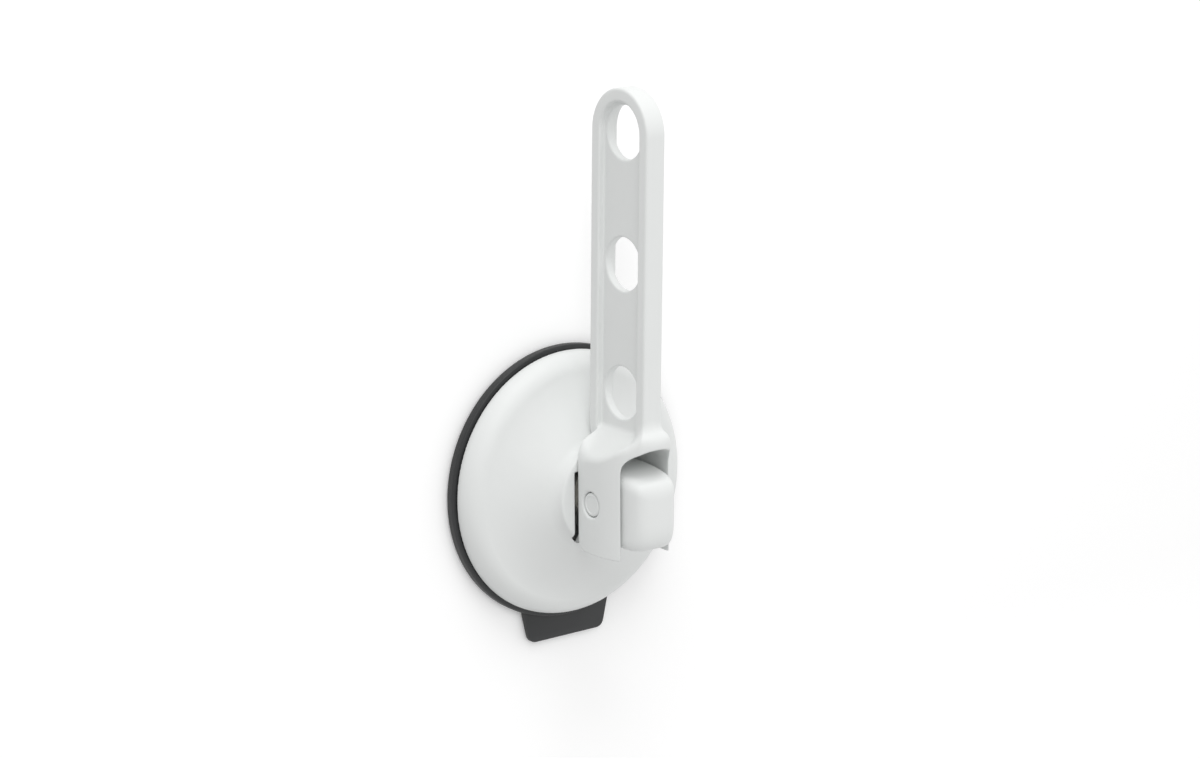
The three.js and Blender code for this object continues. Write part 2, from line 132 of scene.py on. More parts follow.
def oval(across, along, half_across, half_along, power):
    """The distance to an oval about the origin; a power above 2 makes it squarer than an ellipse."""
    u, v = np.abs(across) / half_across, np.abs(along) / half_along
    size = np.maximum((u**power + v**power) ** (1 / power), 1e-6)
    slope = np.hypot((u / size) ** (power - 1) / half_across, (v / size) ** (power - 1) / half_along)
    return (size - 1) / slope


def field_mesh(name, field, low, high, pitch):
    """A mesh of the surface where field(x, y, z) is zero inside a box, with the field's normals."""
    low = np.asarray(low, float) - 2 * pitch
    counts = np.ceil((np.asarray(high, float) + 2 * pitch - low) / pitch).astype(int)
    x, y, z = np.meshgrid(*(low[i] + pitch * np.arange(counts[i]) for i in range(3)), indexing="ij")
    values = field(x, y, z)
    band = FIELD_BAND * pitch
    grid = openvdb.FloatGrid(band)
    grid.copyFromArray(np.clip(values, -band, band).astype(np.float32))
    points, quads = grid.convertToQuads()
    points = low + pitch * np.asarray(points, float)
    for _ in range(SETTLING_STEPS):
        value, slope = field_slope(field, points)
        points -= np.clip(value, -pitch, pitch)[:, None] * slope
    normals = field_slope(field, points)[1]
    mesh = bpy.data.meshes.new(name)
    mesh.from_pydata((points * MM).tolist(), [], np.asarray(quads).tolist())
    mesh.validate()
    mesh.polygons.foreach_set("use_smooth", [True] * len(mesh.polygons))
    mesh.normals_split_custom_set_from_vertices(normals.tolist())
    return link(name, mesh)


def field_slope(field, points, step=0.02):
    """The field at points, scaled to a true distance, and its unit direction of increase."""
    value = field(*points.T)
    slope = np.empty_like(points)
    for axis in range(3):
        shift = np.zeros(3)
        shift[axis] = step
        slope[:, axis] = field(*(points + shift).T) - field(*(points - shift).T)
    slope /= 2 * step
    length = np.maximum(np.linalg.norm(slope, axis=1), 0.2)
    return value / length, slope / length[:, None]


def link(name, data):
    made = bpy.data.objects.new(name, data)
    bpy.context.scene.collection.objects.link(made)
    return made


# ---- lever -----------------------------------------------------------------------------------

# the arm: a flat bar with a recess on both sides and three holes
ARM_HALF = 4.4
ARM_HALF_DEPTH = 16.9
ARM_EDGE_R = 1.0
ARM_FOOT_Z = 30
ARM_LEAN = math.radians(1.41)
WEB_HALF = 1.75
ARM_RIM = 5
RECESS_EDGE_R = 0.8
RECESS_FOOT_Z = 20
HOLE_COUNT = 3
HOLE_R = 10.3
HOLE_EDGE_R = 0.7
HOLE_PITCH = 50
HOLE_RISE = HOLE_PITCH * math.cos(ARM_LEAN)
TOP_HOLE_Z = ARM_TOP_Z - ARM_HALF_DEPTH
LOW_HOLE_Z = TOP_HOLE_Z - (HOLE_COUNT - 1) * HOLE_RISE
LOW_HOLE_Y = -41.24

# the forked hub: egg-shaped from above, closed by a sloping ledge, with a rounded heel
HUB_HALF = 14.4
HUB_MID_Y = -40
HUB_FRONT_Y = -61.3
HUB_BACK_DEPTH = 36
HUB_SQUARENESS = 2.2
HUB_BACK_Y = -29.2
HEEL_R = 4.6
HEEL_EDGE_R = 0.6
LEDGE_TOP_Z = 28.6
LEDGE_LOW_Z = 18.2
LEDGE_BACK_Y, LEDGE_BACK_CURVE = -34.5, 0.17
LEDGE_FRONT_Y, LEDGE_FRONT_CURVE = -36, 0.0165

# the edge round the ledge, which is rounder at the back and at the front
LEDGE_EDGE_R = 1.3
LEDGE_EDGE_MORE_BACK, LEDGE_EDGE_BACK = 1.9, (-37, -29)
LEDGE_EDGE_MORE_FRONT, LEDGE_EDGE_FRONT = 1.6, (-50, -58)

# the fillet between the arm and the hub, which grows where the arm flares out in front
FLARE_R = 0.9
FLARE_MORE_FRONT, FLARE_FRONT = 4.5, (-51, -57)

# the slot between the fork's cheeks, and the arch that leads in to it over the button
SLOT_HALF = 11.4
SLOT_ROOF_Z = 15.6
ARCH_FOOT_Z = 15.2
ARCH_TOP_Z = 24
ARCH_BACK_Y = -32
ARCH_SQUARENESS = 2.3
ARCH_BACK_R = 2
SLOT_CORNER_R = 1.2
SLOT_EDGE_R = 0.8
BORE_EDGE_R = 1.0

# the bar between the cheeks that the button's spring rests on
SPRING_BAR_Y = -42.3
SPRING_BAR_Z = 10.1
SPRING_BAR_THICK = 2.2
SPRING_BAR_HEIGHT = 3.0
SPRING_BAR_EDGE_R = 0.4
SPRING_BAR_FILLET_R = 0.5


def arm_y(z):
    """The arm's centre line: its y at a height."""
    return LOW_HOLE_Y - (z - LOW_HOLE_Z) * math.tan(ARM_LEAN)


def arm_side(y, z, half, foot_z):
    """The arm's outline seen from the side: a straight bar with a round top."""
    top = np.array([arm_y(TOP_HOLE_Z), TOP_HOLE_Z])
    foot = np.array([arm_y(foot_z), foot_z])
    along = top - foot
    dy, dz = y - foot[0], z - foot[1]
    share = np.clip((dy * along[0] + dz * along[1]) / (along @ along), 0, 1)
    return np.hypot(dy - share * along[0], dz - share * along[1]) - half


def hub_plan(x, y):
    """The hub seen from above: a rounded egg whose front is blunter than its back."""
    depth = np.where(y < HUB_MID_Y, HUB_MID_Y - HUB_FRONT_Y, HUB_BACK_DEPTH)
    return oval(x, y - HUB_MID_Y, HUB_HALF, depth, HUB_SQUARENESS)


def ledge_height(x, y):
    """The saddle-shaped ledge where the cheeks run in to the arm."""
    behind, before = np.maximum(y - LEDGE_BACK_Y, 0), np.minimum(y - LEDGE_FRONT_Y, 0)
    edge = LEDGE_LOW_Z + LEDGE_BACK_CURVE * behind**2 + LEDGE_FRONT_CURVE * before**2
    reach = np.clip((np.abs(x) - WEB_HALF) / (HUB_HALF - WEB_HALF), -0.2, 1.2)
    return LEDGE_TOP_Z - (LEDGE_TOP_Z - edge) * reach


def arm_field(x, y, z):
    """The arm: a bar with softened edges and a recess on each side."""
    outside = soft_max(arm_side(y, z, ARM_HALF_DEPTH, ARM_FOOT_Z), np.abs(x) - ARM_HALF, ARM_EDGE_R)
    recess = arm_side(y, z, ARM_HALF_DEPTH - ARM_RIM, RECESS_FOOT_Z)
    recess = soft_max(recess, WEB_HALF - np.abs(x), RECESS_EDGE_R)
    return soft_cut(outside, recess, RECESS_EDGE_R)


def hub_field(x, y, z):
    """The hub, solid: the egg below the ledge, less what the heel's curve takes off."""
    step = 0.05
    slope_x = (ledge_height(x + step, y) - ledge_height(x - step, y)) / (2 * step)
    slope_y = (ledge_height(x, y + step) - ledge_height(x, y - step)) / (2 * step)
    ledge = (z - ledge_height(x, y)) / np.sqrt(1 + slope_x * slope_x + slope_y * slope_y)
    edge_r = LEDGE_EDGE_R + LEDGE_EDGE_MORE_BACK * ramp(y, *LEDGE_EDGE_BACK)
    edge_r = edge_r + LEDGE_EDGE_MORE_FRONT * ramp(y, *LEDGE_EDGE_FRONT)
    hub = soft_max(hub_plan(x, y), ledge, edge_r)
    heel = soft_max(y - HUB_BACK_Y, HUB_BOTTOM_Z - z, HEEL_R)
    return soft_max(hub, heel, HEEL_EDGE_R)


def fork_slot(x, y, z):
    """The slot between the cheeks, open right through below its roof and closed behind the arch."""
    arch_height = ARCH_TOP_Z - ARCH_FOOT_Z
    way = oval(x, np.maximum(z - ARCH_FOOT_Z, 0), SLOT_HALF, arch_height, ARCH_SQUARENESS)
    return soft_max(way, soft_min(z - SLOT_ROOF_Z, y - ARCH_BACK_Y, ARCH_BACK_R), SLOT_CORNER_R)


def lever_field(x, y, z):
    """The arm and the hub in one piece, less the holes, the slot and the pin's bore, with the bar."""
    flare_r = FLARE_R + FLARE_MORE_FRONT * ramp(y, *FLARE_FRONT)
    body = soft_min(arm_field(x, y, z), hub_field(x, y, z), flare_r)
    for i in range(HOLE_COUNT):
        hole_z = LOW_HOLE_Z + i * HOLE_RISE
        body = soft_cut(body, np.hypot(y - arm_y(hole_z), z - hole_z) - HOLE_R, HOLE_EDGE_R)
    body = soft_cut(body, fork_slot(x, y, z), SLOT_EDGE_R)
    bar = np.abs(y - SPRING_BAR_Y) - SPRING_BAR_THICK / 2
    bar = soft_max(bar, np.abs(z - SPRING_BAR_Z) - SPRING_BAR_HEIGHT / 2, SPRING_BAR_EDGE_R)
    bar = np.maximum(bar, np.abs(x) - SLOT_HALF - 1)
    body = soft_min(body, bar, SPRING_BAR_FILLET_R)
    return soft_cut(body, np.hypot(y - PIN_Y, z) - PIN_R - GAP, BORE_EDGE_R)


# ---- release button --------------------------------------------------------------------------

BUTTON_HALF = 10.7
BUTTON_WALL = 2
BUTTON_STROKE = 3
BUTTON_BOW_R = 15
BUTTON_CORNER_R = 4.5
BUTTON_BROW_Z = 10.3
BUTTON_BROW_R = 4
BUTTON_CREST_Y = -51
BUTTON_CREST_R = 3
BUTTON_FOOT_R = 8
BUTTON_BELLY_R = 4
BUTTON_EDGE_R = 0.5
BUTTON_OPEN_Y, BUTTON_OPEN_Z = -50.5, -11
BUTTON_WAY_EDGE_R = 0.3


def bow(x, y, front, radius):
    """The distance to a bow-shaped front, an arc of a radius about an upright axis."""
    return np.hypot(x, np.minimum(y - front - radius, 0)) - radius


def button_shell(x, y, z):
    """The button's outside: a bow-shaped front, a top that slopes to the brow, and a rounded foot."""
    front, foot, top = button_low[1], button_low[2], button_high[2]
    slope = math.atan2(top - BUTTON_BROW_Z, BUTTON_CREST_Y - front)
    brow = (z - BUTTON_BROW_Z) * math.cos(slope) - (y - front) * math.sin(slope)
    sides = soft_max(np.abs(x) - BUTTON_HALF, bow(x, y, front, BUTTON_BOW_R), BUTTON_CORNER_R)
    shell = soft_max(sides, soft_max(z - top, brow, BUTTON_CREST_R), BUTTON_BROW_R)
    return soft_max(shell, soft_max(foot - z, front - y, BUTTON_FOOT_R), BUTTON_BELLY_R)


def button_field(x, y, z):
    """The button, hollow and open at its back and below, with ways for the pin and the bar."""
    shell = button_shell(x, y, z)
    body = soft_max(shell, y - button_high[1], BUTTON_EDGE_R)
    below = np.maximum(BUTTON_OPEN_Y - y, z - BUTTON_OPEN_Z)
    below = np.maximum(below, np.abs(x) - BUTTON_HALF + BUTTON_WALL)
    body = soft_cut(body, np.minimum(shell + BUTTON_WALL, below), BUTTON_EDGE_R)
    pin_front = PIN_Y - BUTTON_STROKE - PIN_R - GAP
    bar_front = SPRING_BAR_Y - SPRING_BAR_THICK / 2 - BUTTON_STROKE - GAP
    pin_way = np.maximum(np.abs(z) - PIN_R - GAP, pin_front - y)
    bar_way = np.maximum(np.abs(z - SPRING_BAR_Z) - SPRING_BAR_HEIGHT / 2 - GAP, bar_front - y)
    return soft_cut(body, np.minimum(pin_way, bar_way), BUTTON_WAY_EDGE_R)


# ---- turned shapes ---------------------------------------------------------------------------

DISC_SEGMENTS = 192
RING_SEGMENTS = 96
PIN_SEGMENTS = 64


def turned(name, profile, segments):
    """A closed outline of (radius, y) points turned about the plunger's axis."""
    rings = []
    mesh = bpy.data.meshes.new(name)
    build = bmesh.new()
    for radius, y in profile:
        if radius < 1e-6:
            rings.append([build.verts.new((0, y * MM, 0))] * segments)
            continue
        angles = [2 * math.pi * i / segments for i in range(segments)]
        spots = [(radius * MM * math.cos(a), y * MM, radius * MM * math.sin(a)) for a in angles]
        rings.append([build.verts.new(spot) for spot in spots])
    for here, there in zip(rings, rings[1:] + rings[:1]):
        for i in range(segments):
            j = (i + 1) % segments
            corners = list(dict.fromkeys([here[i], here[j], there[j], there[i]]))
            if len(corners) > 2:
                build.faces.new(corners)
    bmesh.ops.recalc_face_normals(build, faces=build.faces)
    if build.calc_volume(signed=True) < 0:
        bmesh.ops.reverse_faces(build, faces=build.faces)
    build.to_mesh(mesh)
    build.free()
    return link(name, mesh)


def arc(centre_r, centre_y, radius, start, end, steps):
    """Points on an arc in (radius, y), angles in degrees from outwards towards -Y."""
    points = []
    for i in range(steps + 1):
        angle = math.radians(start + (end - start) * i / steps)
        points.append((centre_r + radius * math.cos(angle), centre_y - radius * math.sin(angle)))
    return points


def smooth(obj, angle=35):
    """Smooth shading, kept sharp along edges that turn by more than this angle in degrees."""
    mesh = obj.data
    mesh.polygons.foreach_set("use_smooth", [True] * len(mesh.polygons))
    obj.modifiers.new("soft edges", "EDGE_SPLIT").split_angle = math.radians(angle)
    return obj


def lay_across(obj):
    """Turns a piece made about the plunger's axis on to the pivot's axis."""
    obj.data.transform(Matrix.Translation((0, PIN_Y * MM, 0)) @ Matrix.Rotation(math.pi / 2, 4, "Z"))
    return obj


# ---- cover -----------------------------------------------------------------------------------

RIM_STRAIGHT = 0.3
SHOULDER_R = 8.6
SHOULDER_SLOPE = math.radians(10)
FLARE_SLOPE = math.radians(38)
NECK_R = 18.5
NECK_Y = COLLAR_Y + 0.8
NECK_EDGE_R = 0.6
NECK_BORE_R = 8.8
NECK_BORE_EDGE_R = 0.5
COVER_WALL = 2.2
COVER_INNER_R = 0.3

# the round landing that the lever's cheeks lie on, and the slots that they turn through
LANDING_R = 20.4
LANDING_EDGE_R = 1.4
LANDING_BACK_Y = -18
LANDING_FILLET_R = 3.0
CAM_SLOT_IN, CAM_SLOT_OUT = 10.9, 14.7
CAM_SLOT_LOW, CAM_SLOT_BEND, CAM_SLOT_HIGH = -18.3, -15.6, 11
CAM_SLOT_CORNER_R = 0.8
CAM_SLOT_EDGE_R = 0.4

SCREW_CIRCLE_R = 36
SCREW_BOSS_R = 3.4
SCREW_BOSS_BACK_Y = -9.9
SCREW_BOSS_EDGE_R = 0.4
SCREW_BOSS_FILLET_R = 0.6


def bell(r, y):
    """The bell's outside: an arc at the shoulder, then a flare that steepens to the neck."""
    centre_r, centre_y = COVER_R - SHOULDER_R, RIM_Y - RIM_STRAIGHT
    start_r = centre_r + SHOULDER_R * math.sin(SHOULDER_SLOPE)
    start_y = centre_y - SHOULDER_R * math.cos(SHOULDER_SLOPE)
    shoulder = np.hypot(np.maximum(r - centre_r, 0), np.maximum(centre_y - y, 0)) - SHOULDER_R
    third = (start_r - NECK_R) / 3
    pull_a = start_y - third * math.tan(SHOULDER_SLOPE)
    pull_b = NECK_Y + third * math.tan(FLARE_SLOPE)
    t = np.clip((start_r - r) / (start_r - NECK_R), 0, 1.05)
    u = 1 - t
    height = start_y * u**3 + 3 * pull_a * u * u * t + 3 * pull_b * u * t * t + NECK_Y * t**3
    rise = 3 * ((pull_a - start_y) * u * u + 2 * (pull_b - pull_a) * u * t + (NECK_Y - pull_b) * t * t)
    flare = (height - y) / np.sqrt(1 + (rise / (start_r - NECK_R)) ** 2)
    return np.where(r > start_r, shoulder, flare)


def screw_bosses(x, y, z, outside):
    """Four round bosses behind the shell for the cover's screws."""
    bosses = None
    for side_x in (-1, 1):
        for side_z in (-1, 1):
            offset = SCREW_CIRCLE_R * math.sqrt(0.5)
            boss = np.hypot(x - side_x * offset, z - side_z * offset) - SCREW_BOSS_R
            boss = np.maximum(boss, outside + COVER_WALL / 2)
            boss = soft_max(boss, y - SCREW_BOSS_BACK_Y, SCREW_BOSS_EDGE_R)
            bosses = boss if bosses is None else np.minimum(bosses, boss)
    return bosses


def cam_slots(x, z):
    """The two upright slots, with the outer corner at the foot cut off at 45 degrees."""
    across = np.abs(x)
    height = np.maximum(CAM_SLOT_LOW - z, z - CAM_SLOT_HIGH)
    slot = soft_max(across - CAM_SLOT_OUT, height, CAM_SLOT_CORNER_R)
    corner = (across - CAM_SLOT_OUT + CAM_SLOT_BEND - z) * math.sqrt(0.5)
    return np.maximum(soft_max(slot, corner, CAM_SLOT_CORNER_R), CAM_SLOT_IN - across)


def cover_field(x, y, z):
    """The bell-shaped shell with its landing, screw bosses, neck bore and cam slots."""
    r = np.hypot(x, z)
    outside = bell(r, y)
    landing = np.maximum(soft_max(r - LANDING_R, COLLAR_Y - y, LANDING_EDGE_R), y - LANDING_BACK_Y)
    body = soft_max(soft_min(outside, landing, LANDING_FILLET_R), COLLAR_Y - y, NECK_EDGE_R)
    body = soft_cut(body, outside + COVER_WALL, COVER_INNER_R)
    body = soft_min(body, screw_bosses(x, y, z, outside), SCREW_BOSS_FILLET_R)
    body = soft_max(body, y - RIM_Y, RIM_STRAIGHT)
    body = soft_cut(body, r - NECK_BORE_R, NECK_BORE_EDGE_R)
    return soft_cut(body, cam_slots(x, z), CAM_SLOT_EDGE_R)


# ---- suction pad -----------------------------------------------------------------------------

PAD_LIP_R = 0.6
PAD_RIM_Y, PAD_RIM_R, PAD_RIM_EDGE_R = -3.8, 45.5, 0.8
PAD_WEB_Y, PAD_WEB_OUT_R, PAD_WEB_IN_R = -2.4, 43, 23.5
PAD_BOSS_R = 20.8
POCKET_Y, POCKET_R = -2.9, 17.3
TAB_HALF_TOP = 20.8
TAB_HALF_END = 18
TAB_ROOT_Z = -50
TAB_TAPER_Z = -52
TAB_BACK_Y = -0.05
TAB_THICK = 2.6
TAB_CORNER_R = 3.2
TAB_CORNER_STEPS = 8
TAB_EDGE_R = 0.5


def make_pad():
    """The rubber disc: a thick rim, a thinner web, and a boss with a pocket for the anchor plate."""
    front = pad_low[1]
    profile = [(0, 0)]
    profile += arc(PAD_R - PAD_LIP_R, -PAD_LIP_R, PAD_LIP_R, -90, 0, 4)
    profile += arc(PAD_R - PAD_RIM_EDGE_R, PAD_RIM_Y + PAD_RIM_EDGE_R, PAD_RIM_EDGE_R, 0, 90, 5)
    profile += [(PAD_RIM_R, PAD_RIM_Y), (PAD_WEB_OUT_R, PAD_WEB_Y), (PAD_WEB_IN_R, PAD_WEB_Y)]
    profile += [(PAD_BOSS_R, front), (POCKET_R, front), (POCKET_R, POCKET_Y), (0, POCKET_Y)]
    return turned("rubber_pad", profile, DISC_SEGMENTS)


def tab_outline():
    """The tab seen from the front: tapering down, with a rounded corner on each side."""
    corner = np.array((TAB_HALF_END, TAB_END_Z))
    side = np.array((TAB_HALF_TOP - TAB_HALF_END, TAB_TAPER_Z - TAB_END_Z))
    side = side / np.linalg.norm(side)
    above, beside = corner + side * TAB_CORNER_R, corner + np.array((-1, 0)) * TAB_CORNER_R
    points = [(TAB_HALF_TOP, TAB_ROOT_Z), (TAB_HALF_TOP, TAB_TAPER_Z)]
    for i in range(TAB_CORNER_STEPS + 1):
        t = i / TAB_CORNER_STEPS
        points.append(tuple((1 - t) ** 2 * above + 2 * t * (1 - t) * corner + t * t * beside))
    return points + [(-x, z) for x, z in reversed(points)]


def make_tab():
    """The pull tab: its outline, extruded, with rounded edges."""
    build = bmesh.new()
    points = tab_outline()
    faces = []
    for y in (TAB_BACK_Y, -TAB_THICK):
        faces.append(build.faces.new([build.verts.new((x * MM, y * MM, z * MM)) for x, z in points]))
    back, front = (list(face.verts) for face in faces)
    for i in range(len(points)):
        j = (i + 1) % len(points)
        build.faces.new((back[i], back[j], front[j], front[i]))
    bmesh.ops.recalc_face_normals(build, faces=build.faces)
    mesh = bpy.data.meshes.new("pull_tab")
    build.to_mesh(mesh)
    build.free()
    made = link("pull_tab", mesh)
    bevel = made.modifiers.new("edges", "BEVEL")
    bevel.width = TAB_EDGE_R * MM
    bevel.segments = 3
    bevel.limit_method = "ANGLE"
    bevel.angle_limit = math.radians(40)
    return made


# ---- pivot, rod and rings --------------------------------------------------------------------

PIN_EDGE_R = 0.9
PIN_FACE_RIM = 1.2
PIN_FACE_DISH = 0.25
RING_EDGE = 0.3
SHANK_R, SHANK_FRONT_Y, SHANK_EDGE_R = 6, -34, 0.4
EYE_R, EYE_HALF, EYE_EDGE_R = 8.5, 6, 0.6
EYE_FILLET_R = 1.5
EYE_BORE_R, EYE_BORE_EDGE_R = bush_high[2] + GAP, 0.4
SOCKET_R, SOCKET_END_Y, SOCKET_EDGE_R = 3.8, -20.5, 0.3
CAM_RING_BORE_R = 8.7
WASHER_BORE_R = 10.8


def make_pin():
    """The pivot pin, lying across the fork, with a shallow dish and a rounded rim at each end."""
    face_r = PIN_R - PIN_FACE_RIM
    end = arc(PIN_R - PIN_EDGE_R, -PIN_HALF + PIN_EDGE_R, PIN_EDGE_R, 0, 90, 5)
    end += [(face_r, -PIN_HALF), (face_r - PIN_FACE_DISH, -PIN_HALF + PIN_FACE_DISH)]
    end += [(0, -PIN_HALF + PIN_FACE_DISH)]
    profile = [(r, -y) for r, y in reversed(end)] + end
    return lay_across(turned("fork_pin", profile, PIN_SEGMENTS))


def rod_field(x, y, z):
    """The plunger rod: a round shank with an eye for the pin in front and a threaded socket behind."""
    r, eye_r = np.hypot(x, z), np.hypot(y - PIN_Y, z)
    ends = np.maximum(y - rod_high[1], SHANK_FRONT_Y - y)
    shank = soft_max(r - SHANK_R, ends, SHANK_EDGE_R)
    eye = soft_max(eye_r - EYE_R, np.abs(x) - EYE_HALF, EYE_EDGE_R)
    body = soft_min(shank, eye, EYE_FILLET_R)
    body = soft_cut(body, eye_r - EYE_BORE_R, EYE_BORE_EDGE_R)
    return soft_cut(body, np.maximum(r - SOCKET_R, SOCKET_END_Y - y), SOCKET_EDGE_R)


def make_eye_bush():
    """The plastic bush in the rod's eye, on the pin."""
    half, inner, outer = bush_high[0], PIN_R + GAP, bush_high[2]
    profile = [
        (inner, half),
        (outer - RING_EDGE, half),
        (outer, half - RING_EDGE),
        (outer, RING_EDGE - half),
        (outer - RING_EDGE, -half),
        (inner, -half),
    ]
    return lay_across(turned("pin_bush", profile, RING_SEGMENTS))


def make_ring(name, node, inner):
    """A ring about the plunger's axis with small chamfers, as thick and wide as its CAD node."""
    low, high = box_mm(node)
    outer, front, back = high[0], low[1], high[1]
    profile = [
        (inner, back),
        (outer - RING_EDGE, back),
        (outer, back - RING_EDGE),
        (outer, front + RING_EDGE),
        (outer - RING_EDGE, front),
        (inner + RING_EDGE, front),
        (inner, front + RING_EDGE),
    ]
    return smooth(turned(name, profile, RING_SEGMENTS))


# ---- materials -------------------------------------------------------------------------------


class Nodes:
    """A material's node tree, with short calls to add and join nodes."""

    def __init__(self, name):
        self.material = bpy.data.materials.new(name)
        self.material.use_nodes = True
        self.tree = self.material.node_tree
        self.shader = self.tree.nodes["Principled BSDF"]
        self.place = self.add("ShaderNodeTexCoord").outputs["Object"]

    def add(self, kind, inputs=None, **settings):
        node = self.tree.nodes.new(kind)
        for key, value in settings.items():
            setattr(node, key, value)
        for key, value in (inputs or {}).items():
            self.feed(node.inputs[key], value)
        return node

    def feed(self, socket, value):
        if isinstance(value, bpy.types.NodeSocket):
            self.tree.links.new(value, socket)
        else:
            socket.default_value = value

    def noise(self, scale, detail=2.0, roughness=0.5):
        """Grey noise; the scale is in features per metre."""
        node = self.add(
            "ShaderNodeTexNoise",
            {"Vector": self.place, "Scale": scale, "Detail": detail, "Roughness": roughness},
        )
        return node.outputs["Fac"]

    def spread(self, value, low, high, low_out, high_out):
        """A value moved from one range to another."""
        node = self.add(
            "ShaderNodeMapRange",
            {"Value": value, "From Min": low, "From Max": high, "To Min": low_out, "To Max": high_out},
        )
        return node.outputs["Result"]

    def mix(self, factor, a, b):
        node = self.add("ShaderNodeMix", data_type="RGBA")
        self.feed(node.inputs["Factor"], factor)
        self.feed(node.inputs[6], (*a, 1))
        self.feed(node.inputs[7], (*b, 1))
        return node.outputs[2]

    def bump(self, height, strength, distance, normal=None):
        inputs = {"Height": height, "Strength": strength, "Distance": distance}
        if normal is not None:
            inputs["Normal"] = normal
        return self.add("ShaderNodeBump", inputs).outputs["Normal"]

    def finish(self, **sockets):
        """Joins values to the shader's sockets and gives the material."""
        names = {"colour": "Base Color"}
        for key, value in sockets.items():
            self.feed(self.shader.inputs[names.get(key, key.capitalize())], value)
        return self.material


def moulded_plastic(name, colour, darker, roughness):
    """Matt moulded plastic: a fine spark-eroded grain, and faint unevenness in colour and gloss."""
    nodes = Nodes(name)
    grain = nodes.noise(2600, 3, 0.6)
    cloud = nodes.noise(55, 2)
    return nodes.finish(
        colour=nodes.mix(cloud, darker, colour),
        roughness=nodes.spread(nodes.noise(700), 0.3, 0.7, roughness - 0.04, roughness + 0.05),
        normal=nodes.bump(grain, 0.12, 0.00006, nodes.bump(cloud, 0.05, 0.0004)),
    )


def rubber(name):
    """Matt dark rubber with a fine bloom."""
    nodes = Nodes(name)
    bloom = nodes.noise(90, 4, 0.6)
    grain = nodes.noise(1800, 3, 0.6)
    return nodes.finish(
        colour=nodes.mix(bloom, (0.011, 0.012, 0.013), (0.020, 0.021, 0.022)),
        roughness=nodes.spread(bloom, 0.3, 0.7, 0.42, 0.52),
        normal=nodes.bump(grain, 0.25, 0.00008),
    )


def steel(name, colour, roughness, stretch):
    """Plated steel with fine marks along one direction."""
    nodes = Nodes(name)
    mapping = nodes.add("ShaderNodeMapping", {"Vector": nodes.place, "Scale": stretch})
    nodes.place = mapping.outputs["Vector"]
    marks = nodes.noise(900, 3, 0.6)
    return nodes.finish(
        colour=nodes.mix(marks, tuple(c * 0.85 for c in colour), colour),
        roughness=nodes.spread(marks, 0.3, 0.7, roughness - 0.06, roughness + 0.08),
        metallic=1.0,
        normal=nodes.bump(marks, 0.15, 0.00003),
    )


MATERIALS = {
    "white_plastic": moulded_plastic("white_plastic", (0.79, 0.805, 0.797), (0.765, 0.78, 0.772), 0.5),
    "inner_plastic": moulded_plastic("inner_plastic", (0.62, 0.64, 0.63), (0.56, 0.58, 0.57), 0.5),
    "bearing_plastic": moulded_plastic("bearing_plastic", (0.78, 0.76, 0.68), (0.72, 0.70, 0.62), 0.35),
    "grey_rubber": rubber("grey_rubber"),
    "steel": steel("steel", (0.60, 0.61, 0.62), 0.34, (1, 6, 1)),
    "spring_steel": steel("spring_steel", (0.46, 0.47, 0.49), 0.28, (1, 1, 1)),
}


def dress(obj, slot):
    """Gives a piece its only material, the one made for this slot."""
    obj.data.materials.clear()
    obj.data.materials.append(MATERIALS[slot])
    return obj


# ---- visible pieces --------------------------------------------------------------------------


def place(obj, slot, body, *nodes):
    """Dresses a piece, lets it ride on a body and takes the place of its CAD nodes."""
    dress(obj, slot)
    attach(obj, body)
    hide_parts(*nodes)


lever = field_mesh("hanger_lever", lever_field, lever_low, lever_high, 0.5)
place(lever, "white_plastic", "lever", "lever_arm")
button = field_mesh("push_button", button_field, button_low, button_high, 0.4)
place(button, "white_plastic", "button", "release_button")
cover = field_mesh("bell_cover", cover_field, cover_low, cover_high, 0.58)
place(cover, "white_plastic", "base", "cover")
place(smooth(make_pad()), "grey_rubber", "base", "suction_pad")
tab = dress(smooth(make_tab()), "grey_rubber")
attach(tab, "base")
place(smooth(make_pin()), "white_plastic", "lever", "pivot_pin")
rod = field_mesh("sliding_rod", rod_field, rod_low, rod_high, 0.45)
place(rod, "steel", "plunger", "plunger_rod")
place(smooth(make_eye_bush()), "bearing_plastic", "plunger", "eye_bush")
place(make_ring("cam_ring", "thrust_ring", CAM_RING_BORE_R), "steel", "base", "thrust_ring")
place(make_ring("rod_guide", "guide_bush", SHANK_R + GAP), "bearing_plastic", "base", "guide_bush")
place(make_ring("neck_seal", "rod_seal", SHANK_R + GAP), "grey_rubber", "base", "rod_seal")
place(make_ring("spring_washer", "spring_seat", WASHER_BORE_R), "steel", "base", "spring_seat")

slot_of_node = {row["node"]: row["material_slot"] for row in frame["record"]["subparts"]}
for node, obj in frame["nodes"].items():
    obj.data.materials.clear()
    obj.data.materials.append(MATERIALS[slot_of_node[node]])

# ---- stage -----------------------------------------------------------------------------------

WALL_HALF = 3.0
WALL_TOP = 2.5
WALL_Y = 0.0006
FLOOR_Z = -0.5
FLOOR_FRONT = -3.5
SWEEP_R = 0.4
SWEEP_STEPS = 24
WALL_GLOW = 0.1


